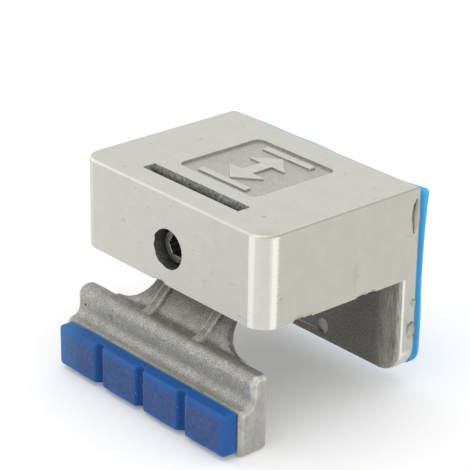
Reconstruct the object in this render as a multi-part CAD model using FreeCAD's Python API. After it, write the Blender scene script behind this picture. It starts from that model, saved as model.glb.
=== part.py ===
"""Sliding window lock: an expanding clamp that jams in a window's track.

A cast block with a rear flange sits over the track's rail. A cast jaw slides in a pocket under the block,
threaded on a hex-socket jack screw. Turning the screw pushes the jaw away from the flange, so that the two
rubber pads press outwards on the walls of the track.

Millimetres. X runs along the track, +Y points out of the rear pad and +Z is up. The origin lies on the rear
pad's outer face, in the middle of the width, level with the underside of the block.
"""
import FreeCAD, Part
import math
import os

# Block
block_width = 54.6
block_depth = 36.4
block_height = 19.0
front_corner_radius = 4.2
top_edge_radius = 0.6

# Rear flange
flange_thickness = 4.0
flange_drop = 21.3
flange_corner_radius = 6.0
flange_edge_radius = 1.2
ejector_mark_diameter = 2.4
ejector_mark_depth = 0.3
ejector_mark_spacing = 11.2
ejector_mark_height = 3.6

# Rear pad
rear_pad_thickness = 2.5
rear_pad_side_gap = 0.2
rear_pad_top_gap = 1.2
rear_pad_bottom_gap = 1.0
rear_pad_top_radius = 1.0
rear_pad_bottom_radius = 3.2
rear_pad_edge_radius = 0.7

# Pocket under the block, and the slot through its roof
front_wall = 5.2
pocket_roof = 4.6
pocket_width = 29.0
pocket_corner_radius = 1.5
slot_length = 28.5
slot_width = 3.1

# Sunk panel on the top
panel_width = 22.8
panel_length = 21.4
panel_setback = 11.8
panel_depth = 0.5
panel_corner_radius = 1.6

# Jack screw
screw_diameter = 8.0
screw_height = 7.75
screw_recess = 2.1
screw_chamfer = 0.5
socket_size = 4.0
socket_depth = 4.5
thrust_seat_depth = 1.2

# Jaw: bar
jaw_reach = 8.1
bar_end_inset = 0.2
bar_bottom = -24.9
bar_depth = 7.0
ledge_height = 9.7
ledge_depth = 3.1
upper_bar_height = 6.2
bar_end_chamfer = 0.7
bar_edge_radius = 1.0
bar_top_radius = 2.0
ledge_fillet = 1.7

# Jaw: neck
neck_setback = 4.1
neck_lean = 45.0
neck_thickness = 2.6
neck_width = 24.2
neck_flare_radius = 6.2
neck_toe = 0.6
neck_root_radius = 1.5
neck_draft = 1.5
neck_overlap = 3.0
rib_width = 2.6
rib_spacing = 15.5
rib_relief = 0.8
rib_edge_radius = 0.5
rib_foot_height = 1.6
rib_top_gap = 1.0

# Jaw: slider
slider_length = 11.0
slider_edge_radius = 0.8
travel_back = 8.0

# Jaw pad
jaw_pad_length = 51.2
jaw_pad_thickness = 3.4
jaw_pad_height = 8.9
jaw_pad_lift = 0.9
jaw_pad_end_gap = 0.75
jaw_pad_corner_radius = 0.9
jaw_pad_edge_radius = 0.5
groove_count = 3
groove_pitch = 12.7
groove_mouth = 2.4
groove_floor = 1.1
groove_depth = 1.0

# Clearances
slider_clearance = 0.25
screw_clearance = 0.1
stop_clearance = 1.0

# Planes across the lock, from the rear pad forwards
flange_rear = -rear_pad_thickness
flange_front = flange_rear - flange_thickness
block_front = flange_front - block_depth
flange_bottom = -flange_drop

# The jaw's bar, between the planes of the block's sides, and the planes of the jaw
bar_length = block_width - 2 * bar_end_inset
jaw_pad_front = block_front - jaw_reach
jaw_pad_offset = (bar_length - jaw_pad_length) / 2 - jaw_pad_end_gap
bar_front = jaw_pad_front + jaw_pad_thickness
bar_rear = bar_front + bar_depth
upper_front = bar_front + ledge_depth
ledge_level = bar_bottom + ledge_height
bar_top = ledge_level + upper_bar_height
lean_sine = math.sin(math.radians(neck_lean))
lean_cosine = math.cos(math.radians(neck_lean))


def neck_front(level):
    """Y of the neck's front face at a height."""
    return upper_front + neck_setback + (level - bar_top) * lean_sine / lean_cosine


# Planes of the slider and its pocket
slider_bottom = 2 * slider_clearance
slider_front = neck_front(slider_bottom)
slider_rear = slider_front + slider_length
pocket_front = block_front + front_wall
pocket_rear = slider_rear + travel_back + stop_clearance
pocket_top = block_height - pocket_roof
slider_top = pocket_top - slider_clearance
slider_width = pocket_width - 2 * slider_clearance

# Ends of the screw
screw_front = block_front + screw_recess
screw_tail = pocket_rear + thrust_seat_depth


def on_xy(u, v, level):
    return FreeCAD.Vector(u, v, level)


def on_xz(u, v, level):
    return FreeCAD.Vector(u, level, v)


def on_yz(u, v, level):
    return FreeCAD.Vector(level, u, v)


def on_neck(u, v, level):
    """Plane of the neck: v runs up its slope from the bar's top, and level goes into its thickness."""
    y = neck_front(bar_top) + v * lean_sine + level * lean_cosine
    z = bar_top + v * lean_cosine - level * lean_sine
    return FreeCAD.Vector(u, y, z)


def rounded_wire(corners, plane, level):
    """Closed wire through (u, v, radius) corners, each turned by a tangent arc of its radius."""
    points = [plane(u, v, level) for u, v, _ in corners]
    edges = []
    spans = []
    for index, (_, _, radius) in enumerate(corners):
        here = points[index]
        back = (points[index - 1] - here).normalize()
        ahead = (points[(index + 1) % len(points)] - here).normalize()
        half_angle = back.getAngle(ahead) / 2
        reach = radius / math.tan(half_angle)
        start = here + back * reach
        end = here + ahead * reach
        middle_line = (back + ahead).normalize()
        middle = here + middle_line * (radius / math.sin(half_angle) - radius)
        spans.append((start, middle, end, radius))
    for index, (start, middle, end, radius) in enumerate(spans):
        if radius > 0:
            edges.append(Part.Arc(start, middle, end).toShape())
        edges.append(Part.makeLine(end, spans[(index + 1) % len(spans)][0]))
    return Part.Wire(edges)


def prism(corners, plane, low, high):
    """Solid from a rounded outline, between two levels of the axis across its plane."""
    face = Part.Face(rounded_wire(corners, plane, low))
    return face.extrude(plane(0, 0, high) - plane(0, 0, low))


def rectangle(u_low, u_high, v_low, v_high, radius):
    return [
        (u_low, v_low, radius),
        (u_high, v_low, radius),
        (u_high, v_high, radius),
        (u_low, v_high, radius),
    ]


def rod(diameter, front, rear, x, z):
    """Round bar along Y."""
    start = FreeCAD.Vector(x, front, z)
    return Part.makeCylinder(diameter / 2, rear - front, start, FreeCAD.Vector(0, 1, 0))


def mirrored_pair(spacing):
    return (-spacing / 2, spacing / 2)


def round_edges(shape, radius, wanted):
    """Fillet the edges whose bounding boxes pass a test."""
    edges = [edge for edge in shape.Edges if wanted(edge.BoundBox)]
    return shape.makeFillet(radius, edges)


def near(value, target):
    return abs(value - target) < 1e-4


def make_lock_body():
    half = block_width / 2
    plan = [
        (-half, block_front, front_corner_radius),
        (half, block_front, front_corner_radius),
        (half, flange_rear, 0),
        (-half, flange_rear, 0),
    ]
    block = prism(plan, on_xy, 0, block_height)
    block = round_edges(block, top_edge_radius, lambda box: near(box.ZMin, block_height))

    flange_outline = [
        (-half, flange_bottom, flange_corner_radius),
        (half, flange_bottom, flange_corner_radius),
        (half, block_height / 2, 0),
        (-half, block_height / 2, 0),
    ]
    flange = prism(flange_outline, on_xz, flange_front, flange_rear)
    flange = round_edges(
        flange,
        flange_edge_radius,
        lambda box: near(box.YMax, flange_front) and box.ZMin < 0,
    )

    pocket_half = pocket_width / 2
    pocket = prism(
        rectangle(-pocket_half, pocket_half, pocket_front, pocket_rear, pocket_corner_radius),
        on_xy, -stop_clearance, pocket_top,
    )
    slot_half = slot_length / 2
    slot = prism(
        rectangle(-slot_half, slot_half, pocket_front, pocket_front + slot_width, 0),
        on_xy, pocket_top - stop_clearance, block_height + stop_clearance,
    )
    panel_half = panel_width / 2
    panel_front = block_front + panel_setback
    panel = prism(
        rectangle(-panel_half, panel_half, panel_front, panel_front + panel_length, panel_corner_radius),
        on_xy, block_height - panel_depth, block_height + stop_clearance,
    )
    hole_diameter = screw_diameter + 2 * screw_clearance
    screw_hole = rod(hole_diameter, block_front - stop_clearance, screw_tail, 0, screw_height)
    marks = [
        rod(
            ejector_mark_diameter, flange_front - stop_clearance, flange_front + ejector_mark_depth,
            x, flange_bottom + ejector_mark_height,
        )
        for x in mirrored_pair(ejector_mark_spacing)
    ]
    return block.fuse(flange).cut([pocket, slot, panel, screw_hole] + marks).removeSplitter()


def make_rear_pad():
    half = block_width / 2 - rear_pad_side_gap
    low = flange_bottom + rear_pad_bottom_gap
    high = block_height - rear_pad_top_gap
    outline = [
        (-half, low, rear_pad_bottom_radius),
        (half, low, rear_pad_bottom_radius),
        (half, high, rear_pad_top_radius),
        (-half, high, rear_pad_top_radius),
    ]
    pad = prism(outline, on_xz, flange_rear, 0)
    return round_edges(pad, rear_pad_edge_radius, lambda box: near(box.YMin, 0))


def make_bar():
    """L-section bar that carries the pad, bevelled round its ends."""
    section = [
        (bar_front, bar_bottom, bar_edge_radius),
        (bar_front, ledge_level, bar_edge_radius),
        (upper_front, ledge_level, ledge_fillet),
        (upper_front, bar_top, bar_top_radius),
        (bar_rear, bar_top, bar_edge_radius),
        (bar_rear, bar_bottom, bar_edge_radius),
    ]
    half = bar_length / 2
    bar = prism(section, on_yz, -half, half)
    end_edges = [edge for edge in bar.Edges if near(edge.BoundBox.XMin, edge.BoundBox.XMax)]
    return bar.makeChamfer(bar_end_chamfer, end_edges)


def neck_outline(inset, depth):
    """Flared outline of the neck, drawn in at the sides, at a depth into its thickness."""
    half = neck_width / 2 - inset
    foot_half = neck_width / 2 + neck_flare_radius + neck_toe
    low = -neck_overlap
    high = (slider_bottom - bar_top) / lean_cosine + neck_overlap
    right = [
        (foot_half, low, 0),
        (foot_half, 0, 0),
        (half, 0, neck_flare_radius + inset),
        (half, high, 0),
    ]
    left = [(-u, v, radius) for u, v, radius in reversed(right)]
    return rounded_wire(right + left, on_neck, depth)


def make_neck():
    """Leaning plate that flares into the bar's top, with draft on its sides."""
    return Part.makeLoft([neck_outline(0, 0), neck_outline(neck_draft, neck_thickness)], True, True)


def make_neck_root():
    """Hollow fillet between the bar's top and the neck's front face."""
    middle = neck_front(bar_top)
    half = neck_width / 2 + neck_toe
    outline = [
        (middle - neck_root_radius, bar_top, 0),
        (middle, bar_top, neck_root_radius),
        (neck_front(bar_top + neck_root_radius), bar_top + neck_root_radius, 0),
        (neck_front(bar_top + neck_root_radius), bar_top - neck_root_radius, 0),
    ]
    return prism(outline, on_yz, -half, half)


def make_slider():
    """Block in the pocket, with the bore that the screw runs through."""
    half = slider_width / 2
    section = rectangle(slider_front, slider_rear, slider_bottom, slider_top, slider_edge_radius)
    return prism(section, on_yz, -half, half)


def make_rib(x):
    """Low rib on the neck's front face, with a foot that spreads over the bar's top."""
    rib_depth = rib_relief / lean_cosine
    base_depth = neck_thickness / lean_cosine / 2
    rib_top = -rib_top_gap
    foot_top = bar_top + rib_foot_height
    outline = [
        (upper_front + bar_top_radius, bar_top, 0),
        (neck_front(foot_top) - rib_depth, foot_top, 0),
        (neck_front(rib_top) - rib_depth, rib_top, 0),
        (neck_front(rib_top) + base_depth, rib_top, 0),
        (neck_front(bar_top) + base_depth, bar_top, 0),
    ]
    rib = prism(outline, on_yz, x - rib_width / 2, x + rib_width / 2)
    return round_edges(rib, rib_edge_radius, lambda box: near(box.XMin, box.XMax))


def make_clamp_jaw():
    ribs = [make_rib(x) for x in mirrored_pair(rib_spacing)]
    bore_diameter = screw_diameter + 2 * screw_clearance
    bore = rod(bore_diameter, slider_front - stop_clearance, slider_rear + stop_clearance, 0, screw_height)
    return make_bar().fuse([make_neck(), make_neck_root(), make_slider()] + ribs).cut(bore).removeSplitter()


def make_jaw_pad():
    left = jaw_pad_offset - jaw_pad_length / 2
    right = jaw_pad_offset + jaw_pad_length / 2
    low = bar_bottom + jaw_pad_lift
    high = low + jaw_pad_height
    pad = prism(rectangle(left, right, low, high, jaw_pad_corner_radius), on_xz, jaw_pad_front, bar_front)
    pad = round_edges(pad, jaw_pad_edge_radius, lambda box: near(box.YMax, jaw_pad_front))
    grooves = []
    for index in range(groove_count):
        x = jaw_pad_offset + (index - (groove_count - 1) / 2) * groove_pitch
        outline = [
            (x - groove_mouth / 2, jaw_pad_front, 0),
            (x + groove_mouth / 2, jaw_pad_front, 0),
            (x + groove_floor / 2, jaw_pad_front + groove_depth, 0),
            (x - groove_floor / 2, jaw_pad_front + groove_depth, 0),
        ]
        grooves.append(prism(outline, on_xy, low - stop_clearance, high + stop_clearance))
    return pad.cut(grooves)


def make_jack_screw():
    radius = screw_diameter / 2
    profile = [
        (0, screw_front, 0),
        (radius - screw_chamfer, screw_front, 0),
        (radius, screw_front + screw_chamfer, 0),
        (radius, screw_tail - screw_chamfer, 0),
        (radius - screw_chamfer, screw_tail, 0),
        (0, screw_tail, 0),
    ]
    half_section = Part.Face(rounded_wire(profile, on_xy, screw_height))
    axis_point = FreeCAD.Vector(0, 0, screw_height)
    shaft = half_section.revolve(axis_point, FreeCAD.Vector(0, 1, 0), 360)
    corner_reach = socket_size / math.sqrt(3)
    hexagon = [
        (
            corner_reach * math.cos(math.radians(60 * corner)),
            screw_height + corner_reach * math.sin(math.radians(60 * corner)),
            0,
        )
        for corner in range(6)
    ]
    socket = prism(hexagon, on_xz, screw_front - stop_clearance, screw_front + socket_depth)
    return shaft.cut(socket)


os.makedirs("parts", exist_ok=True)
nodes = {
    "lock_body": make_lock_body(),
    "rear_pad": make_rear_pad(),
    "clamp_jaw": make_clamp_jaw(),
    "jaw_pad": make_jaw_pad(),
    "jack_screw": make_jack_screw(),
}
for name, shape in nodes.items():
    shape.exportStep("parts/" + name + ".step")
    print(name, "valid", shape.isValid(), "solids", len(shape.Solids), "volume", round(shape.Volume, 1))
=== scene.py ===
"""Looks of the sliding window lock: ground cast steel, a rough cast jaw, blue rubber pads and a screw."""
import math
import random

import bmesh
import bpy
from mathutils import Matrix, Vector, noise


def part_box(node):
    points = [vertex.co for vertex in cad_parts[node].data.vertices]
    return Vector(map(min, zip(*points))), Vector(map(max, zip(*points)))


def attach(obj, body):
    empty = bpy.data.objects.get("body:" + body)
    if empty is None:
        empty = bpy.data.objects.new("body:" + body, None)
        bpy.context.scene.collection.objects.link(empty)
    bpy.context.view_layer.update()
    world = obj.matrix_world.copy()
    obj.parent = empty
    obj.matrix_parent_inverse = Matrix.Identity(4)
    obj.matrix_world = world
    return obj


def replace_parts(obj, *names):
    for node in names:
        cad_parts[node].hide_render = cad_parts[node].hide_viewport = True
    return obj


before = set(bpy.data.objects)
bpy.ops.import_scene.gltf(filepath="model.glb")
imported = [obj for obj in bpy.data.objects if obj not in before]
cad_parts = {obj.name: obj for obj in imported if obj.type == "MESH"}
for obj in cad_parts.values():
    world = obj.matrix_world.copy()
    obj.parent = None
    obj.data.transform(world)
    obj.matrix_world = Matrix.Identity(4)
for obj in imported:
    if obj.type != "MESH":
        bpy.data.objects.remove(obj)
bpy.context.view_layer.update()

MM = 0.001


def rgb(red, green, blue):
    return (red, green, blue, 1.0)


def grey(value):
    return rgb(value, value, value)


# Places taken from the frame
BODY_LOW, BODY_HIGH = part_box("lock_body")
JAW_LOW, JAW_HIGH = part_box("clamp_jaw")
JAW_PAD_LOW, JAW_PAD_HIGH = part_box("jaw_pad")
REAR_PAD_LOW, REAR_PAD_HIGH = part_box("rear_pad")
SCREW_LOW, SCREW_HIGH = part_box("jack_screw")
SCREW_CENTRE = (SCREW_LOW + SCREW_HIGH) / 2
JAW_PAD_CENTRE = (JAW_PAD_LOW + JAW_PAD_HIGH) / 2
SIDE = BODY_HIGH.x
FRONT = BODY_LOW.y
SEAM = BODY_HIGH.y
TOP = BODY_HIGH.z
LEDGE_FRONT = JAW_PAD_HIGH.y
LEDGE_LEVEL = JAW_PAD_HIGH.z

# Sizes of the block that its looks follow
HOLE_RADIUS = 4.1 * MM
FRONT_CORNER_REACH = 4.3 * MM
TOP_EDGE_REACH = 0.7 * MM
CHIP_REACH = 1.5 * MM
FLANGE_THICKNESS = 4.0 * MM
FLANGE_START = FRONT + 34 * MM
PANEL_WIDTH = 22.8 * MM
PANEL_LENGTH = 21.4 * MM
PANEL_SETBACK = 11.8 * MM
PANEL_DEPTH = 0.5 * MM
SLOT_HALF_LENGTH = 14.25 * MM
SLOT_FRONT = FRONT + 5.2 * MM
SLOT_REAR = FRONT + 8.3 * MM
EJECTOR_MARK_X = (-5.6 * MM, 5.6 * MM)
EJECTOR_MARK_Z = BODY_LOW.z + 3.6 * MM
EJECTOR_MARK_RADIUS = 1.6 * MM
EJECTOR_MARK_DEPTH = 0.3 * MM
MARGIN = 0.1 * MM

# Sizes of the jaw and its pad that their looks follow
RIB_X = 7.75 * MM
RIB_CREST_HALF = 0.95 * MM
NECK_FOOT = LEDGE_LEVEL + 7.0 * MM
GROOVES = 3
GROOVE_PITCH = 12.7 * MM

# The range that most of a noise lies in
NOISE_RANGE = (0.3, 0.7)

# Sockets of a Mix node that share their names with others: A, B and the result for colours and for vectors
COLOUR_A, COLOUR_B, COLOUR_RESULT = 6, 7, 2
VECTOR_A, VECTOR_B, VECTOR_RESULT = 4, 5, 1


class Shader:
    """A node material while it is being put together."""

    def __init__(self, name, **sockets):
        self.material = bpy.data.materials.new(name)
        self.material.use_nodes = True
        self.tree = self.material.node_tree
        self.surface = self.tree.nodes["Principled BSDF"]
        self.place = self.add("ShaderNodeTexCoord").outputs["Object"]
        self.normal = self.add("ShaderNodeNewGeometry").outputs["Normal"]
        for socket, value in sockets.items():
            self.set(socket.replace("_", " "), value)

    def feed(self, socket, value):
        """Link a socket to another node's output, or give it a constant."""
        if isinstance(value, bpy.types.NodeSocket):
            self.tree.links.new(value, socket)
        else:
            socket.default_value = value

    def set(self, socket, value):
        self.feed(self.surface.inputs[socket], value)

    def add(self, kind, inputs=(), **settings):
        node = self.tree.nodes.new(kind)
        for name, value in settings.items():
            setattr(node, name, value)
        for name, value in dict(inputs).items():
            self.feed(node.inputs[name], value)
        return node

    def math(self, operation, first, second=0.0):
        return self.add("ShaderNodeMath", {0: first, 1: second}, operation=operation).outputs[0]

    def times(self, first, second):
        return self.math("MULTIPLY", first, second)

    def plus(self, first, second):
        return self.math("ADD", first, second)

    def minus(self, first, second):
        return self.math("SUBTRACT", first, second)

    def size(self, value):
        return self.math("ABSOLUTE", value)

    def vector(self, operation, first, second=(0, 0, 0)):
        return self.add("ShaderNodeVectorMath", {0: first, 1: second}, operation=operation).outputs["Vector"]

    def length(self, vector):
        return self.add("ShaderNodeVectorMath", {0: vector}, operation="LENGTH").outputs["Value"]

    def split(self, vector):
        return self.add("ShaderNodeSeparateXYZ", {0: vector}).outputs

    def pointiness(self):
        """About 0.5 on flat stretches, more on edges that stand out and less in hollows."""
        return self.add("ShaderNodeNewGeometry").outputs["Pointiness"]

    def leaning(self, lean):
        """The place, with Z raised along X and Y, so that level lines slope."""
        sides = self.split(self.place)
        rise = self.times(self.plus(sides["X"], sides["Y"]), lean)
        parts = {"X": sides["X"], "Y": sides["Y"], "Z": self.plus(sides["Z"], rise)}
        return self.add("ShaderNodeCombineXYZ", parts).outputs[0]

    def noise(self, per_metre, detail=2.0, roughness=0.5, shift=(0, 0, 0), place=None):
        """Noise over the object, with so many waves a metre along X, Y and Z."""
        moved = self.vector("ADD", place or self.place, shift)
        scaled = self.vector("MULTIPLY", moved, per_metre)
        inputs = {"Vector": scaled, "Scale": 1.0, "Detail": detail, "Roughness": roughness}
        return self.add("ShaderNodeTexNoise", inputs).outputs["Fac"]

    def spread(self, value, low, high, new_low=0.0, new_high=1.0):
        """Stretch low..high to new_low..new_high, and hold it there."""
        inputs = {"Value": value, "From Min": low, "From Max": high, "To Min": new_low, "To Max": new_high}
        return self.add("ShaderNodeMapRange", inputs).outputs[0]

    def mix(self, share, first, second, blend="MIX"):
        inputs = {"Factor": share, COLOUR_A: first, COLOUR_B: second}
        node = self.add("ShaderNodeMix", inputs, data_type="RGBA", blend_type=blend)
        return node.outputs[COLOUR_RESULT]

    def near(self, centre, half_size, core=0.5):
        """1 in the core of an ellipsoid round a centre, fading to 0 at its surface."""
        moved = self.vector("SUBTRACT", self.place, centre)
        return self.spread(self.length(self.vector("DIVIDE", moved, half_size)), 1.0, core)

    def bump(self, height, distance, strength):
        inputs = {"Height": height, "Distance": distance, "Strength": strength}
        self.set("Normal", self.add("ShaderNodeBump", inputs).outputs[0])


# Grinding lines: waves a metre along X, Y and Z on the sides, where they were touched up aslant, and on top
SIDE_LINES = (90, 90, 5200)
SLANT_LINES = (150, 150, 3600)
SLANT = 0.32
TOP_LINES = (90, 4200, 90)

# Painted shade on the flat sides, darkest on the right one, so that they are duller than the corners: axis,
# where the shade starts and is full, painted tone
FLAT_SIDE_SHADES = [
    ("Y", -0.94, -0.995, rgb(0.90, 0.90, 0.89)),
    ("X", -0.94, -0.995, rgb(0.89, 0.88, 0.86)),
    ("X", 0.94, 0.995, rgb(0.855, 0.837, 0.802)),
]

# The two painted highlights on the right front corner, as bright bands by how far its surface has turned from
# the front (X of the normal): where the band starts, is full, is still full and ends, and its colour
CORNER_HIGHLIGHTS = [
    (0.01, 0.06, 0.28, 0.40, rgb(0.81, 0.805, 0.75)),
    (0.86, 0.94, 0.985, 0.9998, rgb(0.85, 0.835, 0.765)),
]

# A brown run on the right side, and a yellowish smear on top at the right front corner
STAIN = (SIDE, FRONT + 23.6 * MM, 4.6 * MM)
STAIN_HALF = (1 * MM, 0.9 * MM, 3.6 * MM)
SMEAR = (SIDE - 2.0 * MM, FRONT + 2.2 * MM, TOP)
SMEAR_HALF = (3.4 * MM, 3.4 * MM, 1.1 * MM)

GROUND_DULL = rgb(0.60, 0.60, 0.55)
GROUND_BRIGHT = rgb(0.675, 0.675, 0.63)
GROUND_CLOUD = rgb(0.575, 0.567, 0.517)
GROUND_SMEAR = rgb(0.56, 0.51, 0.38)
GROUND_SCUFF = rgb(0.34, 0.33, 0.31)
GROUND_STAIN = rgb(0.33, 0.27, 0.20)
FRONT_EDGE_HIGHLIGHT = rgb(0.90, 0.89, 0.82)
RIGHT_EDGE_SHADE = rgb(0.25, 0.24, 0.21)


def ground_steel():
    """Cast stainless steel, belt-ground in one direction on each face, then touched up aslant; with painted
    shade and painted highlights.
    """
    shader = Shader("ground_steel", Metallic=1.0, Anisotropic=0.88)
    facing = shader.split(shader.normal)
    flat = shader.math("GREATER_THAN", shader.size(facing["Z"]), 0.6)
    level = shader.noise(SIDE_LINES, 3.0, 0.6)
    aslant = shader.noise(SLANT_LINES, 3.0, 0.6, place=shader.leaning(SLANT))
    sides = shader.plus(shader.times(level, 0.5), shader.times(aslant, 0.5))
    tops = shader.noise(TOP_LINES, 3.0, 0.6)
    lines = shader.plus(shader.times(tops, flat), shader.times(sides, shader.minus(1.0, flat)))
    clouds = shader.noise((260, 260, 260), 4.0, 0.65)
    scuffs = shader.spread(shader.noise((420, 420, 900), 2.0, 0.5, (0.31, 0.17, 0.05)), 0.68, 0.78)

    base = shader.mix(shader.spread(lines, *NOISE_RANGE), GROUND_DULL, GROUND_BRIGHT)
    base = shader.mix(shader.spread(clouds, 0.35, 0.65, 0.0, 0.45), base, GROUND_CLOUD)
    ragged = shader.times(shader.minus(lines, 0.5), 0.10)
    # Painted shade: each flat side is darkened by its own tone, the right side most
    for axis, starts, full, painted_tone in FLAT_SIDE_SHADES:
        flat_shade = shader.spread(shader.plus(facing[axis], ragged), starts, full)
        base = shader.mix(flat_shade, base, painted_tone, "MULTIPLY")
    upright = shader.spread(shader.size(facing["Z"]), 0.6, 0.3)
    front_half = shader.times(upright, shader.spread(facing["Y"], 0.0, -0.01))
    turned = shader.plus(facing["X"], shader.times(ragged, 0.4))
    # Painted highlights: two bright bands on the right front corner
    for starts, full, still_full, ends, painted_tone in CORNER_HIGHLIGHTS:
        band = shader.times(shader.spread(turned, starts, full), shader.spread(turned, ends, still_full))
        base = shader.mix(shader.times(band, front_half), base, painted_tone)

    smear = shader.times(shader.near(SMEAR, SMEAR_HALF, 0.2), shader.spread(clouds, 0.3, 0.6, 0.2, 0.6))
    base = shader.mix(smear, base, GROUND_SMEAR)
    base = shader.mix(shader.times(scuffs, 0.55), base, GROUND_SCUFF)
    stain = shader.times(shader.near(STAIN, STAIN_HALF, 0.2), shader.spread(clouds, 0.3, 0.6, 0.05, 0.3))
    base = shader.mix(stain, base, GROUND_STAIN)
    upper = shader.spread(facing["Z"], 0.15, 0.5)
    # Painted highlight along the top front edge
    front_edge_highlight = shader.times(upper, shader.spread(facing["Y"], -0.15, -0.5, 0.0, 0.42))
    # Painted shade along the top right edge, a thin dark line
    right_edge_shade = shader.times(upper, shader.spread(facing["X"], 0.25, 0.7, 0.0, 0.55))
    base = shader.mix(front_edge_highlight, base, FRONT_EDGE_HIGHLIGHT)
    base = shader.mix(right_edge_shade, base, RIGHT_EDGE_SHADE)
    shader.set("Base Color", base)
    shader.set("Roughness", shader.spread(lines, *NOISE_RANGE, 0.31, 0.39))
    shader.bump(lines, 0.006 * MM, 0.5)

    ways = {0: flat, VECTOR_A: (0, 0, 1), VECTOR_B: (0, 1, 0)}
    shader.set("Tangent", shader.add("ShaderNodeMix", ways, data_type="VECTOR").outputs[VECTOR_RESULT])
    return shader.material


# Where the flange's inner face starts to have bright streaks, and where they are brightest, along X
STREAK_STARTS = SIDE - 6.8 * MM
STREAK_FULL = SIDE - 3.5 * MM
STREAK_BRIGHT = rgb(0.74, 0.72, 0.67)

# Levels in the slot where painted shade starts to darken its walls, and where they are painted black
SLOT_LIGHT_Z = TOP - 0.8 * MM
SLOT_DARK_Z = TOP - 2.7 * MM
SLOT_SHADE = rgb(0.03, 0.03, 0.028)


def cast_steel(name, dark, pale, grain_per_metre, roughness, metallic=1.0, streaky=False, shaded=False):
    """Steel as it left the mould: grainy, mottled and dull.

    If streaky, it has bright streaks near the right edge. If shaded, painted shade blackens it below the
    block's top.
    """
    shader = Shader(name, Metallic=metallic)
    grain = shader.noise((grain_per_metre,) * 3, 4.0, 0.65)
    patches = shader.noise((160, 160, 160), 3.0, 0.6)
    base = shader.mix(shader.spread(grain, *NOISE_RANGE), dark, pale)
    base = shader.mix(shader.spread(patches, 0.4, 0.7, 0.0, 0.35), base, dark)
    # Brighter vertical streaks near the right edge
    if streaky:
        streaks = shader.spread(shader.noise((2800, 2800, 260), 3.0, 0.7), 0.28, 0.76)
        band = shader.spread(shader.split(shader.place)["X"], STREAK_STARTS, STREAK_FULL, 0.0, 0.8)
        base = shader.mix(shader.times(streaks, band), base, STREAK_BRIGHT)
    # Painted shade: the slot's walls blacken deeper down
    if shaded:
        light = shader.spread(shader.split(shader.place)["Z"], SLOT_DARK_Z, SLOT_LIGHT_Z)
        base = shader.mix(light, SLOT_SHADE, base)
    shader.set("Base Color", base)
    shader.set("Roughness", shader.spread(grain, *NOISE_RANGE, roughness + 0.08, roughness - 0.08))
    shader.bump(grain, 0.05 * MM, 0.6)
    return shader.material


# Brown stain and glue on the ledge behind the jaw's pad, a blowhole in the bar's front near its left end
# painted as a black spot of shade
LEDGE_STAIN = (0, LEDGE_FRONT + 0.7 * MM, LEDGE_LEVEL)
LEDGE_STAIN_HALF = (1.0, 0.7 * MM, 0.8 * MM)
LEDGE_GLUE = (0, LEDGE_FRONT, LEDGE_LEVEL - 0.3 * MM)
LEDGE_GLUE_HALF = (1.0, 0.6 * MM, 0.9 * MM)
PIT = (-24.4 * MM, LEDGE_FRONT + 3.1 * MM, LEDGE_LEVEL + 2.5 * MM)
PIT_HALF = (0.4 * MM,) * 3

# Where marks on the jaw start and are full: painted shade, and wear with painted highlight, up the neck,
# rubbing and bright edges with painted highlight towards the bar's ends. Wear with painted highlight along an
# edge of a rib's crest is full close to it and ends further off.
NECK_SHADE_STARTS, NECK_SHADE_FULL = NECK_FOOT - 0.5 * MM, NECK_FOOT + 2.5 * MM
WEAR_AND_HIGHLIGHT_STARTS, WEAR_AND_HIGHLIGHT_FULL = NECK_FOOT - 0.5 * MM, NECK_FOOT + 0.5 * MM
RUBBING_STARTS, RUBBING_FULL = JAW_HIGH.x - 1.4 * MM, JAW_HIGH.x - 0.4 * MM
END_STARTS, END_FULL = JAW_HIGH.x - 4.0 * MM, JAW_HIGH.x - 1.0 * MM
CREST_WEAR_AND_HIGHLIGHT_ENDS, CREST_WEAR_AND_HIGHLIGHT_FULL = 0.4 * MM, 0.1 * MM

JAW_DARK = rgb(0.215, 0.21, 0.194)
JAW_LIGHT = rgb(0.63, 0.62, 0.58)
JAW_PATCH = rgb(0.25, 0.24, 0.22)
JAW_STAIN = rgb(0.25, 0.195, 0.12)
JAW_GLUE = rgb(0.10, 0.27, 0.32)
NECK_SHADE = rgb(0.69, 0.68, 0.66)
NECK_SIDE_SHADE = rgb(0.42, 0.41, 0.39)
RUBBED_LIGHT = rgb(0.49, 0.48, 0.44)
RUBBED_DARK = rgb(0.37, 0.36, 0.33)
WORN_EDGE = rgb(0.78, 0.77, 0.73)
WORN_END_EDGE_HIGHLIGHT = rgb(0.86, 0.85, 0.80)
WORN_CREST_HIGHLIGHT = rgb(0.80, 0.79, 0.74)
JAW_HOLLOW_SHADE = rgb(0.09, 0.085, 0.08)
PIT_SHADE = rgb(0.05, 0.045, 0.04)


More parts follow.
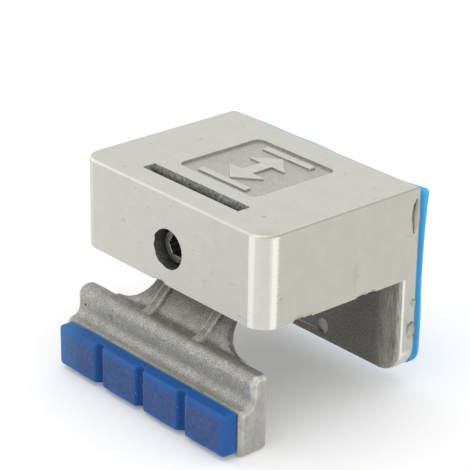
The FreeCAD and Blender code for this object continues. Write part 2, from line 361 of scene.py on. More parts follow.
def jaw_steel():
    """Shot-blasted casting: fine grain, worn bright edges with some painted highlight, painted shade under
    the block and in hollows, a stain along the pad.
    """
    shader = Shader("jaw_steel", Metallic=0.65)
    sides = shader.split(shader.place)
    off_middle = shader.size(sides["X"])
    grain = shader.noise((4400, 4400, 4400), 2.0, 0.7)
    patches = shader.noise((420, 420, 420), 4.0, 0.65)
    base = shader.mix(shader.spread(grain, 0.34, 0.66), JAW_DARK, JAW_LIGHT)
    base = shader.mix(shader.spread(patches, 0.35, 0.7, 0.0, 0.5), base, JAW_PATCH)

    along = shader.spread(shader.noise((90, 90, 90), 2.0, 0.5, (0.07, 0.02, 0.04)), 0.35, 0.65, 0.05, 0.5)
    stain = shader.near(LEDGE_STAIN, LEDGE_STAIN_HALF, 0.3)
    base = shader.mix(shader.times(stain, along), base, JAW_STAIN)
    glue_line = shader.near(LEDGE_GLUE, LEDGE_GLUE_HALF, 0.3)
    base = shader.mix(shader.times(glue_line, 0.55), base, JAW_GLUE)

    # Painted shade up the neck under the block, more on its sides
    neck_shade = shader.spread(sides["Z"], NECK_SHADE_STARTS, NECK_SHADE_FULL)
    base = shader.mix(neck_shade, base, NECK_SHADE, "MULTIPLY")
    sideways = shader.spread(shader.size(shader.split(shader.normal)["X"]), 0.25, 0.75)
    base = shader.mix(shader.times(sideways, neck_shade), base, NECK_SIDE_SHADE, "MULTIPLY")

    rubbed = shader.spread(off_middle, RUBBING_STARTS, RUBBING_FULL)
    smooth_end = shader.mix(shader.spread(patches, *NOISE_RANGE), RUBBED_LIGHT, RUBBED_DARK)
    base = shader.mix(shader.times(rubbed, 0.72), base, smooth_end)
    edges = shader.pointiness()
    base = shader.mix(shader.spread(edges, 0.53, 0.58, 0.0, 0.75), base, WORN_EDGE)
    # Wear with painted highlight on the edges near the bar's ends, in patches
    near_end = shader.spread(off_middle, END_STARTS, END_FULL)
    patchy = shader.spread(shader.noise((520, 520, 520), 2.0, 0.6, (0.03, 0.01, 0.02)), 0.42, 0.6, 0.15, 1.0)
    end_edge_highlight = shader.times(near_end, shader.spread(edges, 0.505, 0.535, 0.0, 0.75))
    base = shader.mix(shader.times(end_edge_highlight, patchy), base, WORN_END_EDGE_HIGHLIGHT)
    # Painted shade in the hollows
    base = shader.mix(shader.spread(edges, 0.485, 0.44, 0.0, 0.6), base, JAW_HOLLOW_SHADE)

    # Wear with painted highlight along both edges of each rib's crest, up the neck
    off_rib = shader.size(shader.minus(off_middle, RIB_X))
    off_edge = shader.size(shader.minus(off_rib, RIB_CREST_HALF))
    speckled = shader.spread(shader.noise((3400, 3400, 3400), 1.0, 0.5), 0.36, 0.6, 0.3, 1.0)
    worn = shader.times(shader.spread(off_edge, CREST_WEAR_AND_HIGHLIGHT_ENDS, CREST_WEAR_AND_HIGHLIGHT_FULL), speckled)
    on_neck = shader.spread(sides["Z"], WEAR_AND_HIGHLIGHT_STARTS, WEAR_AND_HIGHLIGHT_FULL, 0.0, 0.62)
    base = shader.mix(shader.times(worn, on_neck), base, WORN_CREST_HIGHLIGHT)
    # Painted shade: the blowhole is a black spot
    base = shader.mix(shader.near(PIT, PIT_HALF), base, PIT_SHADE)
    shader.set("Base Color", base)
    grainy = shader.spread(grain, *NOISE_RANGE, 0.64, 0.52)
    shader.set("Roughness", shader.minus(grainy, shader.times(rubbed, 0.18)))
    shader.bump(grain, 0.04 * MM, 0.6)
    return shader.material


# Turning marks on the screw's end, painted as light rings that are a painted highlight, and where painted
# shade starts to blacken its end's rim and where it is black, from the axis
TURNING_PITCH = 0.5 * MM
RIM_SHADE_STARTS, RIM_SHADE_FULL = 3.25 * MM, 3.5 * MM
SCREW_DARK = rgb(0.07, 0.07, 0.07)
SCREW_LIGHT = rgb(0.20, 0.195, 0.19)
SCREW_MARK_HIGHLIGHT = rgb(0.42, 0.41, 0.39)
SCREW_RIM_SHADE = rgb(0.02, 0.02, 0.02)


def dark_steel():
    """Oiled black steel of the screw, with turning marks painted as light rings, a painted highlight, on its
    end and painted shade on its rim.
    """
    shader = Shader("dark_steel", Metallic=1.0)
    grain = shader.noise((1500, 1500, 1500), 3.0, 0.6)
    screw_axis = (0, 1, 0)
    out = shader.vector("SUBTRACT", shader.place, tuple(SCREW_CENTRE))
    radius = shader.length(shader.vector("CROSS_PRODUCT", out, screw_axis))
    # Turning marks drawn as light rings, a painted highlight
    marks = shader.math("SINE", shader.times(radius, 2 * math.pi / TURNING_PITCH))
    base = shader.mix(shader.spread(grain, *NOISE_RANGE), SCREW_DARK, SCREW_LIGHT)
    base = shader.mix(shader.spread(marks, 0.1, 0.9, 0.0, 0.7), base, SCREW_MARK_HIGHLIGHT)
    # Painted shade: the rim of the screw's end is blackened where it meets the hole
    base = shader.mix(shader.spread(radius, RIM_SHADE_STARTS, RIM_SHADE_FULL), base, SCREW_RIM_SHADE)
    shader.set("Base Color", base)
    shader.set("Roughness", shader.spread(grain, *NOISE_RANGE, 0.34, 0.48))
    shader.bump(grain, 0.03 * MM, 0.5)
    return shader.material


# On a land of the jaw's pad, from its middle: where dust ends and is full along X and Z, how much that
# wanders, and where the wall of a groove starts and its floor is reached
DUST_WIDTH = (5.4 * MM, 4.4 * MM)
DUST_HEIGHT = (3.9 * MM, 2.9 * MM)
DUST_WANDER = 2.4 * MM
GROOVE_SIDE = (4.9 * MM, 5.6 * MM)

# Length of the stretch at the pad's left end that painted light makes paler, and the line of glue along its
# rear top edge
LIT_STRETCH = 7 * MM
PAD_GLUE = (0, JAW_PAD_HIGH.y, JAW_PAD_HIGH.z)
PAD_GLUE_HALF = (1.0, 0.8 * MM, 0.6 * MM)

PAD_DEEP = rgb(0.006, 0.078, 0.30)
PAD_BLUE = rgb(0.014, 0.112, 0.39)
PAD_DUST_DARK = rgb(0.016, 0.060, 0.205)
PAD_DUST_LIGHT = rgb(0.050, 0.091, 0.235)
PAD_GROOVE_SHADE = rgb(0.004, 0.03, 0.17)
PAD_LIT_EDGE = rgb(0.035, 0.18, 0.46)
PAD_HOLLOW_SHADE = rgb(0.002, 0.014, 0.105)
PAD_END_LIGHT = rgb(0.065, 0.25, 0.52)
PAD_GLUE_TEAL = rgb(0.06, 0.28, 0.36)
PAD_SPECK = rgb(0.30, 0.38, 0.56)


def jaw_rubber():
    """Blue rubber with four dusty lands, bluer round each of them, with painted shade in its grooves and
    hollows and painted highlights on its edges.
    """
    shader = Shader("jaw_rubber", Specular_IOR_Level=0.3)
    clouds = shader.noise((300, 300, 300), 3.0, 0.6)
    fine = shader.noise((2500, 2500, 2500), 2.0, 0.6)
    base = shader.mix(clouds, PAD_DEEP, PAD_BLUE)

    sides = shader.split(shader.place)
    facing = shader.split(shader.normal)
    pitches = shader.math("DIVIDE", shader.minus(sides["X"], JAW_PAD_CENTRE.x), GROOVE_PITCH)
    share = shader.minus(shader.math("FRACT", pitches), 0.5)
    off_land = shader.times(shader.size(share), GROOVE_PITCH)
    height = shader.size(shader.minus(sides["Z"], JAW_PAD_CENTRE.z))
    ragged = shader.times(shader.minus(clouds, 0.5), DUST_WANDER)
    wide = shader.spread(shader.plus(off_land, ragged), *DUST_WIDTH)
    tall = shader.spread(shader.plus(height, ragged), *DUST_HEIGHT)
    forward = shader.spread(shader.times(facing["Y"], -1.0), 0.6, 0.95)
    land = shader.times(shader.times(wide, tall), forward)
    dust = shader.times(land, shader.spread(clouds, 0.25, 0.6, 0.75, 1.0))
    mottle = shader.spread(shader.noise((900, 900, 900), 4.0, 0.7), 0.35, 0.65)
    base = shader.mix(dust, base, shader.mix(mottle, PAD_DUST_DARK, PAD_DUST_LIGHT))

    # Painted shade in the grooves
    between = shader.spread(shader.size(pitches), GROOVES / 2 + 0.05, GROOVES / 2 - 0.05)
    off_top = shader.spread(facing["Z"], 0.7, 0.3)
    in_groove = shader.spread(off_land, *GROOVE_SIDE)
    groove = shader.times(in_groove, shader.times(between, off_top))
    base = shader.mix(shader.times(groove, 0.55), base, PAD_GROOVE_SHADE)
    edges = shader.pointiness()
    lit = shader.times(shader.spread(edges, 0.505, 0.54, 0.0, 0.28), shader.spread(groove, 1.0, 0.0))
    base = shader.mix(lit, base, PAD_LIT_EDGE)
    # Painted shade in the hollows
    base = shader.mix(shader.spread(edges, 0.495, 0.46, 0.0, 0.85), base, PAD_HOLLOW_SHADE)

    # Painted light on the pad's left end
    paler = shader.spread(sides["X"], JAW_PAD_LOW.x + LIT_STRETCH, JAW_PAD_LOW.x, 0.0, 0.45)
    base = shader.mix(paler, base, PAD_END_LIGHT)
    glue_line = shader.near(PAD_GLUE, PAD_GLUE_HALF, 0.3)
    base = shader.mix(shader.times(glue_line, 0.7), base, PAD_GLUE_TEAL)
    spots = shader.noise((1900, 1900, 1900), 1.0, 0.4, (0.02, 0.05, 0.01))
    base = shader.mix(shader.spread(spots, 0.71, 0.78, 0.0, 0.45), base, PAD_SPECK)
    shader.set("Base Color", base)
    shader.set("Roughness", shader.spread(fine, *NOISE_RANGE, 0.44, 0.62))
    shader.bump(fine, 0.03 * MM, 0.5)
    return shader.material


# Where painted backlight starts to make the rim of the rear pad paler, and where it is palest, along Y
BACKLIT_RIM_STARTS, BACKLIT_RIM_FULL = -1.5 * MM, -0.5 * MM
AZURE_DEEP = rgb(0.010, 0.19, 0.50)
AZURE = rgb(0.016, 0.25, 0.60)
AZURE_EDGE_HIGHLIGHT = rgb(0.04, 0.55, 0.88)
AZURE_BACKLIGHT = rgb(0.05, 0.62, 0.92)


def rear_rubber():
    """Satin azure rubber, with painted highlights on its edges and painted backlight round its outer rim."""
    shader = Shader("rear_rubber", Specular_IOR_Level=0.45)
    clouds = shader.noise((200, 200, 200), 3.0, 0.6)
    fine = shader.noise((2200, 2200, 2200), 2.0, 0.6)
    base = shader.mix(clouds, AZURE_DEEP, AZURE)
    # Painted highlight on the edges
    base = shader.mix(shader.spread(shader.pointiness(), 0.51, 0.56, 0.0, 0.7), base, AZURE_EDGE_HIGHLIGHT)
    # Painted backlight round the outer rim
    outer = shader.spread(shader.split(shader.place)["Y"], BACKLIT_RIM_STARTS, BACKLIT_RIM_FULL)
    sidelong = shader.spread(shader.split(shader.normal)["Y"], 0.9, 0.6, 0.0, 0.55)
    base = shader.mix(shader.times(outer, sidelong), base, AZURE_BACKLIGHT)
    shader.set("Base Color", base)
    shader.set("Roughness", shader.spread(fine, *NOISE_RANGE, 0.38, 0.54))
    shader.bump(fine, 0.02 * MM, 0.5)
    return shader.material


def clear_glue():
    """Clear glue with a faint yellow haze."""
    shader = Shader("clear_glue", Transmission_Weight=1.0, IOR=1.45)
    haze = shader.noise((900, 900, 900), 2.0, 0.5)
    shader.set("Base Color", shader.mix(haze, rgb(0.93, 0.93, 0.89), rgb(0.84, 0.84, 0.79)))
    shader.set("Roughness", shader.spread(haze, *NOISE_RANGE, 0.04, 0.16))
    return shader.material


# Light of the world on matt surfaces, and what the floor adds where it is seen
WORLD_LIGHT = 0.85
FLOOR_GLOW = 0.14


def background_rays(tree):
    """1 for the rays that see the background, directly, in metal or through glass, and 0 for the rest."""
    rays = tree.nodes.new("ShaderNodeLightPath").outputs
    seen = rays["Is Camera Ray"]
    for kind in ("Is Glossy Ray", "Is Transmission Ray"):
        either = tree.nodes.new("ShaderNodeMath")
        either.operation = "MAXIMUM"
        tree.links.new(seen, either.inputs[0])
        tree.links.new(rays[kind], either.inputs[1])
        seen = either.outputs[0]
    return seen


def pale_floor():
    shader = Shader("pale_floor", Roughness=0.9, Specular_IOR_Level=0.1)
    clouds = shader.noise((6, 6, 6), 2.0, 0.5)
    shader.set("Base Color", shader.mix(clouds, grey(0.93), grey(0.95)))
    shader.set("Emission Color", grey(1.0))
    shader.set("Emission Strength", shader.times(background_rays(shader.tree), FLOOR_GLOW))
    return shader.material


def closed_copy(node):
    """Mesh of a CAD node with its seams welded."""
    shape = bmesh.new()
    shape.from_mesh(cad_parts[node].data)
    bmesh.ops.remove_doubles(shape, verts=shape.verts, dist=0.001 * MM)
    shape.verts.index_update()
    points = [vertex.co.copy() for vertex in shape.verts]
    faces = [[vertex.index for vertex in face.verts] for face in shape.faces]
    shape.free()
    mesh = bpy.data.meshes.new(node + "_copy")
    mesh.from_pydata(points, [], faces)
    return mesh


def mesh_of(shape, name):
    """Mesh of a bmesh, which is freed."""
    mesh = bpy.data.meshes.new(name)
    shape.to_mesh(mesh)
    shape.free()
    return mesh


def link(name, data):
    """Object in the scene."""
    made = bpy.data.objects.new(name, data)
    bpy.context.scene.collection.objects.link(made)
    return made


def place(name, mesh, body, slot, materials):
    """A piece that rides on a body."""
    mesh.name = name
    piece = link(name, mesh)
    for material in materials:
        mesh.materials.append(material)
    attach(piece, body)
    return piece


def with_modifiers(mesh, *modifiers):
    """Mesh after a chain of (type, settings) modifiers."""
    holder = link("holder", mesh)
    for index, (kind, settings) in enumerate(modifiers):
        modifier = holder.modifiers.new(str(index), kind)
        for name, value in settings.items():
            setattr(modifier, name, value)
    graph = bpy.context.evaluated_depsgraph_get()
    made = bpy.data.meshes.new_from_object(holder.evaluated_get(graph))
    bpy.data.objects.remove(holder)
    return made


def moulded(node, voxel, smoothing):
    """Rounded, evenly meshed copy of a CAD node, as a mould leaves it."""
    remesh = {"mode": "VOXEL", "voxel_size": voxel, "use_smooth_shade": True}
    smooth = {"factor": 0.5, "iterations": smoothing}
    return with_modifiers(closed_copy(node), ("REMESH", remesh), ("SMOOTH", smooth))


def roughen(mesh, waves_per_metre, height, seed):
    """Push each point along its normal by smooth noise."""
    offset = Vector((seed, seed * 2.0, seed * 3.0))
    shifts = [
        vertex.normal * height * noise.noise(vertex.co * waves_per_metre + offset)
        for vertex in mesh.vertices
    ]
    for vertex, shift in zip(mesh.vertices, shifts):
        vertex.co += shift


def shade_smooth(mesh, sharp_angle=math.pi):
    """Smooth shading, broken where faces meet at more than the sharp angle."""
    for face in mesh.polygons:
        face.use_smooth = True
    if sharp_angle < math.pi:
        mesh.set_sharp_from_angle(angle=sharp_angle)


def turns(count):
    """Angles of so many even steps round a circle."""
    return [2 * math.pi * index / count for index in range(count)]


def ring_along_y(x, y, z, radii):
    """Ring of points about an axis along Y, with a radius for each of its even steps."""
    return [
        (x + radius * math.cos(turn), y, z + radius * math.sin(turn))
        for turn, radius in zip(turns(len(radii)), radii)
    ]


def ring_stack(rings):
    """Closed mesh from rings with equal numbers of points, joined in order and capped."""
    shape = bmesh.new()
    rows = [[shape.verts.new(point) for point in ring] for ring in rings]
    count = len(rows[0])
    for row, following in zip(rows, rows[1:]):
        for index in range(count):
            ahead = (index + 1) % count
            shape.faces.new((row[index], row[ahead], following[ahead], following[index]))
    shape.faces.new(list(reversed(rows[0])))
    shape.faces.new(rows[-1])
    bmesh.ops.recalc_face_normals(shape, faces=shape.faces)
    return mesh_of(shape, "rings")


# Pebbles: how much their surface swells and shrinks, over so many waves a radius, and how far apart their
# places in the noise may lie
LUMP_SWELL = 0.28
LUMP_WAVES = 1.6
LUMP_SPREAD = 9.0


def lump(centre, size, seed):
    """Irregular closed pebble."""
    shape = bmesh.new()
    bmesh.ops.create_icosphere(shape, subdivisions=3, radius=1.0)
    draw = random.Random(seed)
    offset = Vector((draw.random(), draw.random(), draw.random())) * LUMP_SPREAD
    for vertex in shape.verts:
        swell = 1.0 + LUMP_SWELL * noise.noise(vertex.co * LUMP_WAVES + offset)
        vertex.co = Vector(centre) + Vector(c * s for c, s in zip(vertex.co * swell, size))
    return mesh_of(shape, "lump")


# Broken front rim of the screw hole: where it is broken most, as an angle from +X towards +Z, how strongly
# the breaks gather there, the least and most that is lost, in millimetres, and the plug that takes it away
RIM_SEED = 5
RIM_POINTS = 72
RIM_BREAKS = 24
RIM_WORST = math.radians(205)
RIM_GATHERING = 1.5
RIM_LEAST = 0.06
RIM_MOST = 0.75
RIM_PLUG_RADIUS = HOLE_RADIUS - 0.02 * MM
RIM_PLUG_FRONT = FRONT - 0.3 * MM
RIM_PLUG_BACK = FRONT + 1.5 * MM


def ragged_rim_cutter():
    """Irregular plug that breaks the front rim of the screw hole, mostly on its left and below."""
    draw = random.Random(RIM_SEED)
    breaks = [draw.uniform(0.0, 1.0) for _ in range(RIM_BREAKS)]
    radii = []
    for index, turn in enumerate(turns(RIM_POINTS)):
        lower_left = max(0.0, math.cos(turn - RIM_WORST))
        step = breaks[(index * RIM_BREAKS) // RIM_POINTS]
        radii.append(RIM_PLUG_RADIUS + (RIM_LEAST + RIM_MOST * lower_left ** RIM_GATHERING * step) * MM)
    front_ring = ring_along_y(0.0, RIM_PLUG_FRONT, SCREW_CENTRE.z, radii)
    back_ring = ring_along_y(0.0, RIM_PLUG_BACK, SCREW_CENTRE.z, [RIM_PLUG_RADIUS] * RIM_POINTS)
    return ring_stack([front_ring, back_ring])


def ejector_mark_cutter(x):
    """Shallow disc that an ejector pin left in the flange's inner face."""
    points = 40
    past = 0.2 * MM
    surface = SEAM - FLANGE_THICKNESS
    radii = [EJECTOR_MARK_RADIUS] * points
    levels = (surface - past, surface + EJECTOR_MARK_DEPTH)
    return ring_stack([ring_along_y(x, y, EJECTOR_MARK_Z, radii) for y in levels])


# Worn left rear corner: its largest radius, how far down it goes, and its course as shares of both: how far
# below the top, and how large the radius is there
REAR_CORNER_RADIUS = 2.6 * MM
REAR_CORNER_HEIGHT = 8.0 * MM
REAR_CORNER_COURSE = [(-0.1, 1.0), (0.0, 1.0), (0.35, 0.8), (0.7, 0.35), (1.0, 0.02)]


def rear_corner_cutter():
    """What the worn left rear corner has lost: most at the top, and nothing further down."""
    past = 0.5 * MM
    steps = 12
    rings = []
    for drop, share in REAR_CORNER_COURSE:
        radius = REAR_CORNER_RADIUS * share
        z = TOP - drop * REAR_CORNER_HEIGHT
        middle = Vector((-SIDE + radius, SEAM - radius))
        ring = [
            (-SIDE - past, middle.y, z), (-SIDE - past, SEAM + past, z), (middle.x, SEAM + past, z),
        ]
        for index in range(steps + 1):
            turn = math.pi / 2 * (1 + index / steps)
            ring.append((middle.x + radius * math.cos(turn), middle.y + radius * math.sin(turn), z))
        rings.append(ring)
    return ring_stack(rings)


# Chips along the block's lower edges, in millimetres: the middle, as x and z in front, or as y behind the
# front and z on the right side, and half sizes along X, Y and Z
FRONT_CHIPS = [
    ((-2.7, 0.0), (1.7, 0.6, 0.6)),
]
FRONT_CHIP_SEED = 20
SIDE_CHIPS = [
    ((9.6, 0.0), (0.6, 1.9, 0.9)),
    ((11.8, 0.2), (0.45, 0.9, 0.6)),
    ((25.6, 0.0), (0.55, 1.5, 0.8)),
    ((28.2, 0.1), (0.5, 1.3, 0.55)),
]
SIDE_CHIP_SEED = 40


def chip_cutters():
    chips = []
    for seed, ((x, z), half) in enumerate(FRONT_CHIPS, FRONT_CHIP_SEED):
        chips.append(lump((x * MM, FRONT, z * MM), [s * MM for s in half], seed))
    for seed, ((y, z), half) in enumerate(SIDE_CHIPS, SIDE_CHIP_SEED):
        chips.append(lump((SIDE, FRONT + y * MM, z * MM), [s * MM for s in half], seed))
    return chips


def is_ejector_mark(centre, normal):
    inside = any(
        math.hypot(centre.x - x, centre.z - EJECTOR_MARK_Z) < EJECTOR_MARK_RADIUS for x in EJECTOR_MARK_X
    )
    return inside and normal.y < -0.5 and abs(centre.y - SEAM + FLANGE_THICKNESS) < 0.5 * MM


def is_panel(centre):
    """True in the sunk panel, which is pale but not ground."""
    low = FRONT + PANEL_SETBACK - MARGIN
    inside = abs(centre.x) < PANEL_WIDTH / 2 + MARGIN and low < centre.y < low + PANEL_LENGTH + 2 * MARGIN
    return inside and TOP - PANEL_DEPTH - 0.05 * MM < centre.z < TOP - 0.01 * MM


def is_slot(centre):
    inside = abs(centre.x) < SLOT_HALF_LENGTH + MARGIN and centre.z > 0
    return inside and SLOT_FRONT - MARGIN < centre.y < SLOT_REAR + MARGIN


def is_flange_inside(centre, normal):
    return centre.z < 0 and normal.y < -0.3 and centre.y > FLANGE_START


def is_ground(centre, normal):
    """True on the faces that were ground after casting."""
    near = 0.08 * MM
    outside = abs(centre.x) > SIDE - near and abs(normal.x) > 0.9
    front = centre.y < FRONT + near and normal.y < -0.9
    top = centre.z > TOP - near and normal.z > 0.9
    front_corner = abs(centre.x) > SIDE - FRONT_CORNER_REACH and centre.y < FRONT + FRONT_CORNER_REACH
    top_edge = centre.z > TOP - TOP_EDGE_REACH and 0.02 < normal.z < 0.995
    rounded = centre.z > 0 and normal.z > -0.1 and (front_corner or top_edge)
    foot = centre.z < -1 * MM and centre.y > FLANGE_START and normal.y > -0.5
    at_rear_corner = centre.x < -SIDE + REAR_CORNER_RADIUS and centre.y > SEAM - REAR_CORNER_RADIUS
    return outside or front or top or rounded or foot or (at_rear_corner and normal.y < 0.99)


def is_chip(centre):
    """True on broken places along the block's lower edges."""
    outer = abs(centre.x) > SIDE - CHIP_REACH or centre.y < FRONT + CHIP_REACH
    return outer and 0.02 * MM < centre.z < CHIP_REACH


def is_rear_face(centre, normal):
    return normal.y > 0.9 and centre.y > SEAM - MARGIN


# Finishes of the body, by their places in its list of materials
GROUND, CAST, BLASTED, STREAKY, SLOT_SHADED = range(5)


def body_finishes():
    """The body's materials: ground faces, as cast, shot-blasted, streaky on the flange, pale in the slot with
    painted shade down its walls.
    """
    return [
        ground_steel(),
        cast_steel("cast_steel", rgb(0.10, 0.097, 0.09), rgb(0.30, 0.295, 0.275), 1600, 0.58),
        cast_steel("blasted_steel", rgb(0.40, 0.395, 0.365), rgb(0.56, 0.555, 0.51), 2200, 0.46),
        cast_steel(
            "streaky_steel", rgb(0.15, 0.142, 0.13), rgb(0.34, 0.328, 0.305), 2600, 0.56, streaky=True,
        ),
        cast_steel(
            "slot_shaded_steel", rgb(0.10, 0.10, 0.095), rgb(0.92, 0.92, 0.87), 1300, 0.6,
            metallic=0.2, shaded=True,
        ),
    ]


def finish_of(centre, normal):
    """Which finish a face of the body has."""
    if is_panel(centre) or is_ejector_mark(centre, normal):
        return BLASTED
    if is_ground(centre, normal):
        return GROUND
    if is_chip(centre) or is_rear_face(centre, normal):
        return BLASTED
    if is_slot(centre):
        return SLOT_SHADED
    return STREAKY if is_flange_inside(centre, normal) else CAST


def make_body(materials):
    """Block with its broken rim, chips, worn corner and ejector marks."""
    marks = [ejector_mark_cutter(x) for x in EJECTOR_MARK_X]
    cutters = [ragged_rim_cutter(), rear_corner_cutter()] + marks + chip_cutters()
    tools = [link("cutter", mesh) for mesh in cutters]
    cuts = [("BOOLEAN", {"operation": "DIFFERENCE", "solver": "EXACT", "object": tool}) for tool in tools]
    mesh = with_modifiers(closed_copy("lock_body"), *cuts)
    for tool in tools:
        bpy.data.objects.remove(tool)
    for face in mesh.polygons:
        face.material_index = finish_of(face.center, face.normal)
    shade_smooth(mesh, sharp_angle=math.radians(24))
    piece = place("lock_body_shell", mesh, "body", "body_steel", materials)
    piece.modifiers.new("flat_normals", "WEIGHTED_NORMAL").keep_sharp = True
    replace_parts(piece, "lock_body")


def make_jaw(steel):
    mesh = moulded("clamp_jaw", voxel=0.26 * MM, smoothing=8)
    roughen(mesh, waves_per_metre=900, height=0.05 * MM, seed=1.3)
    roughen(mesh, waves_per_metre=180, height=0.06 * MM, seed=4.1)
    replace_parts(place("clamp_jaw_casting", mesh, "jaw", "jaw_steel", [steel]), "clamp_jaw")


# Grooves of the jaw's pad: half their width, and how much deeper they are than the smoothing leaves them
GROOVE_HALF = 1.5 * MM
GROOVE_EXTRA = 0.85 * MM


def make_jaw_pad(rubber):
    """Rubber pad with soft edges and three grooves."""
    mesh = moulded("jaw_pad", voxel=0.22 * MM, smoothing=20)
    middle = JAW_PAD_CENTRE
    grooves = [middle.x + (index - (GROOVES - 1) / 2) * GROOVE_PITCH for index in range(GROOVES)]
    for vertex in mesh.vertices:
        ahead = max(0.0, (middle.y - vertex.co.y) / (middle.y - JAW_PAD_LOW.y))
        for groove_x in grooves:
            inside = max(0.0, 1.0 - ((vertex.co.x - groove_x) / GROOVE_HALF) ** 2)
            vertex.co.y += GROOVE_EXTRA * inside ** 2 * ahead
    roughen(mesh, waves_per_metre=160, height=0.10 * MM, seed=2.2)
    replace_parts(place("jaw_pad_rubber", mesh, "jaw", "jaw_rubber", [rubber]), "jaw_pad")


# Rear pad: how far its top right corner is swollen outwards, how far its top edge dips on the right and rises
# on the left, and how far down that wave reaches
PAD_LIFT = 1.2 * MM
PAD_DIP = 0.55 * MM
PAD_RISE = 0.05 * MM
PAD_WAVE_DEPTH = 4.0 * MM


def make_rear_pad(rubber):
    """Rubber sheet that is swollen at its top right corner and has a wavy top."""
    mesh = moulded("rear_pad", voxel=0.32 * MM, smoothing=4)
    roughen(mesh, waves_per_metre=110, height=0.14 * MM, seed=3.7)
    low, high = REAR_PAD_LOW, REAR_PAD_HIGH
    for vertex in mesh.vertices:
        outer = min(1.0, max(0.0, (vertex.co.y - low.y) / (high.y - low.y)))
        across = max(0.0, vertex.co.x / high.x)
        along = max(0.0, (vertex.co.z - low.z) / (high.z - low.z))
        vertex.co.y += PAD_LIFT * outer * across ** 2 * along ** 6
        near_top = max(0.0, 1.0 - (high.z - vertex.co.z) / PAD_WAVE_DEPTH)
        wave = PAD_DIP if vertex.co.x > 0 else PAD_RISE
        vertex.co.z -= wave * near_top * math.sin(math.pi * vertex.co.x / high.x)
    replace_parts(place("rear_pad_rubber", mesh, "body", "rear_rubber", [rubber]), "rear_pad")


# Jack screw
SCREW_POINTS = 72
SCREW_RADIUS = 3.95 * MM
SCREW_CHAMFER = 0.5 * MM
THREAD_PITCH = 1.25 * MM
THREAD_DEPTH = 0.68 * MM
THREAD_STEEPNESS = 2.4
THREAD_RINGS_A_TURN = 9
SOCKET_APOTHEM = 2.0 * MM
SOCKET_DEPTH = 4.5 * MM
SOCKET_BEVEL = 0.12 * MM
SOCKET_POINT = 0.9 * MM
SOCKET_POINT_RADIUS = 0.05 * MM


def screw_ring(y, radius_at):
    return ring_along_y(0.0, y, SCREW_CENTRE.z, [radius_at(turn) for turn in turns(SCREW_POINTS)])


def make_screw(steel):
    """Set screw with a cut thread and a hex socket."""
    front, back = SCREW_LOW.y, SCREW_HIGH.y

    def round_at(radius):
        return lambda turn: radius

    def hexagon(grow):
        return lambda turn: (SOCKET_APOTHEM + grow) / math.cos(turn % (math.pi / 3) - math.pi / 6)

    def thread(y):
        fade = max(0.0, min(1.0, (y - front) / THREAD_PITCH, (back - y) / THREAD_PITCH))

        def radius(turn):
            phase = (y / THREAD_PITCH + turn / (2 * math.pi)) % 1.0
            groove = max(0.0, 1.0 - abs(phase - 0.5) * THREAD_STEEPNESS)
            return SCREW_RADIUS - THREAD_DEPTH * groove * fade
        return radius

    rings = [
        screw_ring(front + SOCKET_DEPTH + SOCKET_POINT, round_at(SOCKET_POINT_RADIUS)),
        screw_ring(front + SOCKET_DEPTH, hexagon(0.0)),
        screw_ring(front + SOCKET_BEVEL, hexagon(0.0)),
        screw_ring(front, hexagon(SOCKET_BEVEL)),
        screw_ring(front, round_at(SCREW_RADIUS - SCREW_CHAMFER)),
    ]
    threaded = back - front - 2 * SCREW_CHAMFER
    steps = int(threaded / (THREAD_PITCH / THREAD_RINGS_A_TURN))
    for index in range(steps + 1):
        y = front + SCREW_CHAMFER + threaded * index / steps
        rings.append(screw_ring(y, thread(y)))
    rings.append(screw_ring(back, round_at(SCREW_RADIUS - SCREW_CHAMFER)))
    mesh = ring_stack(rings)
    shade_smooth(mesh, sharp_angle=math.radians(28))
    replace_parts(place("jack_screw_threaded", mesh, "screw", "screw_steel", [steel]), "jack_screw")


# Raised sign in the sunk panel: a plain arrow with two heads between two bars
SIGN_HEIGHT = 0.45 * MM
SIGN_BEVEL = 0.12 * MM
SIGN_HALF_LENGTH = 9.2 * MM
SIGN_BAR = 1.5 * MM
SIGN_BAR_HALF = 7.0 * MM
ARROW_HALF_LENGTH = 7.0 * MM
ARROW_HEAD = 4.4 * MM
ARROW_HEAD_HALF = 5.2 * MM
ARROW_SHAFT_HALF = 1.5 * MM


def make_sign(steel):
    middle = FRONT + PANEL_SETBACK + PANEL_LENGTH / 2
    inner = ARROW_HALF_LENGTH - ARROW_HEAD
    ahead = [
        (ARROW_SHAFT_HALF, inner), (ARROW_HEAD_HALF, inner), (0.0, ARROW_HALF_LENGTH),
        (-ARROW_HEAD_HALF, inner), (-ARROW_SHAFT_HALF, inner),
    ]
    outlines = [ahead + [(-x, -y) for x, y in ahead]]
    for side in (-1, 1):
        low, high = sorted((side * SIGN_HALF_LENGTH, side * (SIGN_HALF_LENGTH - SIGN_BAR)))
        outlines.append([
            (-SIGN_BAR_HALF, low), (SIGN_BAR_HALF, low), (SIGN_BAR_HALF, high), (-SIGN_BAR_HALF, high),
        ])
    shape = bmesh.new()
    floor = TOP - PANEL_DEPTH
    for outline in outlines:
        face = shape.faces.new([shape.verts.new((x, middle + y, floor)) for x, y in outline])
        raised = bmesh.ops.extrude_face_region(shape, geom=[face])["geom"]
        points = [item for item in raised if isinstance(item, bmesh.types.BMVert)]
        bmesh.ops.translate(shape, vec=(0, 0, SIGN_HEIGHT), verts=points)
    bmesh.ops.recalc_face_normals(shape, faces=shape.faces)
    bevel = {"width": SIGN_BEVEL, "segments": 2, "limit_method": "ANGLE"}
    mesh = with_modifiers(mesh_of(shape, "sign_outline"), ("BEVEL", bevel))
    place("raised_sign", mesh, "body", "body_steel", [steel])


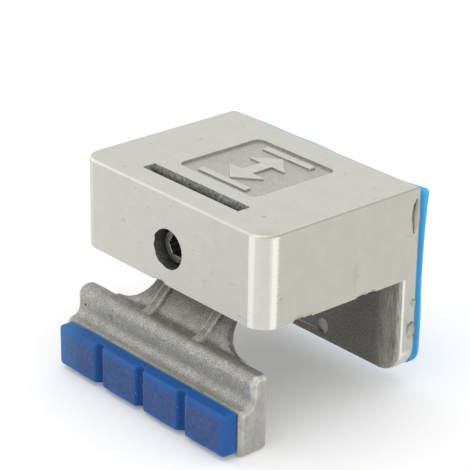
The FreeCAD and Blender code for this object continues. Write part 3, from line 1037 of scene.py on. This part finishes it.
# Beads of glue along the right seam, in millimetres: name, z, how far their middle is in front of the seam,
# half height, half width along Y, how far they stand out
GLUE_BEADS = [
    ("glue_bead_top", 13.0, 0.8, 3.4, 0.95, 0.4),
    ("glue_bead_low", -11.6, 0.77, 1.9, 0.85, 0.8),
    ("glue_bead_small", -5.6, 0.4, 0.8, 0.45, 0.5),
]
GLUE_SEED = 60


def make_glue(glue):
    for seed, (name, z, ahead, tall, wide, out) in enumerate(GLUE_BEADS, GLUE_SEED):
        mesh = lump((SIDE, SEAM - ahead * MM, z * MM), (out * MM, wide * MM, tall * MM), seed)
        shade_smooth(mesh)
        place(name, mesh, "body", None, [glue])


# Camera, fitted to the block's edges: image in pixels, the turn about Z, the rise and the roll, a point in
# the object, and how far the camera stands from it to its own right, up and back
IMAGE_SIZE = 470
FOCAL_PIXELS = 2162.98
SENSOR = 36.0
CAMERA_TURN = math.radians(48.73)
CAMERA_RISE = math.radians(23.82)
CAMERA_ROLL = math.radians(0.84)
CAMERA_PIVOT = Vector((0.3 * MM, FRONT + 22.5 * MM, TOP - 11.25 * MM))
CAMERA_OFFSET = Vector((-4.3425, -2.91375, 428.355)) * MM


def make_camera():
    turn, rise, roll = CAMERA_TURN, CAMERA_RISE, CAMERA_ROLL
    back = Vector((math.sin(turn) * math.cos(rise), -math.cos(turn) * math.cos(rise), math.sin(rise)))
    level = Vector((math.cos(turn), math.sin(turn), 0.0))
    upright = back.cross(level)
    right = level * math.cos(roll) + upright * math.sin(roll)
    up = upright * math.cos(roll) - level * math.sin(roll)
    axes = Matrix((right, up, back)).transposed()
    lens = bpy.data.cameras.new("camera")
    lens.sensor_width = SENSOR
    lens.lens = SENSOR * FOCAL_PIXELS / IMAGE_SIZE
    lens.clip_start = 0.01
    lens.clip_end = 20.0
    camera = link("camera", lens)
    camera.matrix_world = Matrix.Translation(CAMERA_PIVOT + axes @ CAMERA_OFFSET) @ axes.to_4x4()
    bpy.context.scene.camera = camera


def make_floor(material):
    half = 4.0
    level = JAW_LOW.z
    corners = [(-half, -half, level), (half, -half, level), (half, half, level), (-half, half, level)]
    mesh = bpy.data.meshes.new("floor")
    mesh.from_pydata(corners, [], [(0, 1, 2, 3)])
    mesh.materials.append(material)
    floor = link("floor", mesh)


# Lamps, all aimed at the block: name, place and size in metres, watts, colour
LAMPS = [
    ("key", (0.05, -0.10, 0.90), (1.2, 1.2), 1.9, (1.0, 1.0, 1.0)),
    ("left_panel", (-0.53, -0.30, 0.14), (0.20, 0.30), 0.25, (1.0, 1.0, 1.0)),
    ("front_strip", (0.04, -0.62, 0.14), (0.46, 0.30), 0.16, (1.0, 1.0, 1.0)),
    ("right_strip", (0.58, 0.08, 0.14), (0.36, 0.30), 0.14, (1.0, 0.97, 0.91)),
]
LAMP_TARGET = Vector((0.0, FRONT / 2, 0.0))


def make_lamp(name, position, size, watts, colour):
    lamp = bpy.data.lights.new(name, "AREA")
    lamp.shape = "RECTANGLE"
    lamp.size, lamp.size_y = size
    lamp.energy = watts
    lamp.color = colour
    holder = link(name, lamp)
    holder.location = position
    holder.rotation_mode = "QUATERNION"
    holder.rotation_quaternion = (LAMP_TARGET - holder.location).to_track_quat("-Z", "Y")


def make_world():
    """White surroundings for the camera and for reflections, a little dimmer as light."""
    world = bpy.data.worlds.new("studio")
    world.use_nodes = True
    tree = world.node_tree
    strength = tree.nodes.new("ShaderNodeMapRange")
    strength.inputs["To Min"].default_value = WORLD_LIGHT
    strength.inputs["To Max"].default_value = 1.0
    tree.links.new(background_rays(tree), strength.inputs["Value"])
    background = tree.nodes["Background"]
    background.inputs["Color"].default_value = grey(1.0)
    tree.links.new(strength.outputs[0], background.inputs["Strength"])
    bpy.context.scene.world = world


def main():
    bpy.context.scene.view_settings.view_transform = "Standard"
    finishes = body_finishes()
    make_body(finishes)
    make_jaw(jaw_steel())
    make_jaw_pad(jaw_rubber())
    make_rear_pad(rear_rubber())
    make_screw(dark_steel())
    make_sign(finishes[GROUND])
    make_glue(clear_glue())
    make_camera()
    make_world()
    make_floor(pale_floor())
    for lamp in LAMPS:
        make_lamp(*lamp)


main()
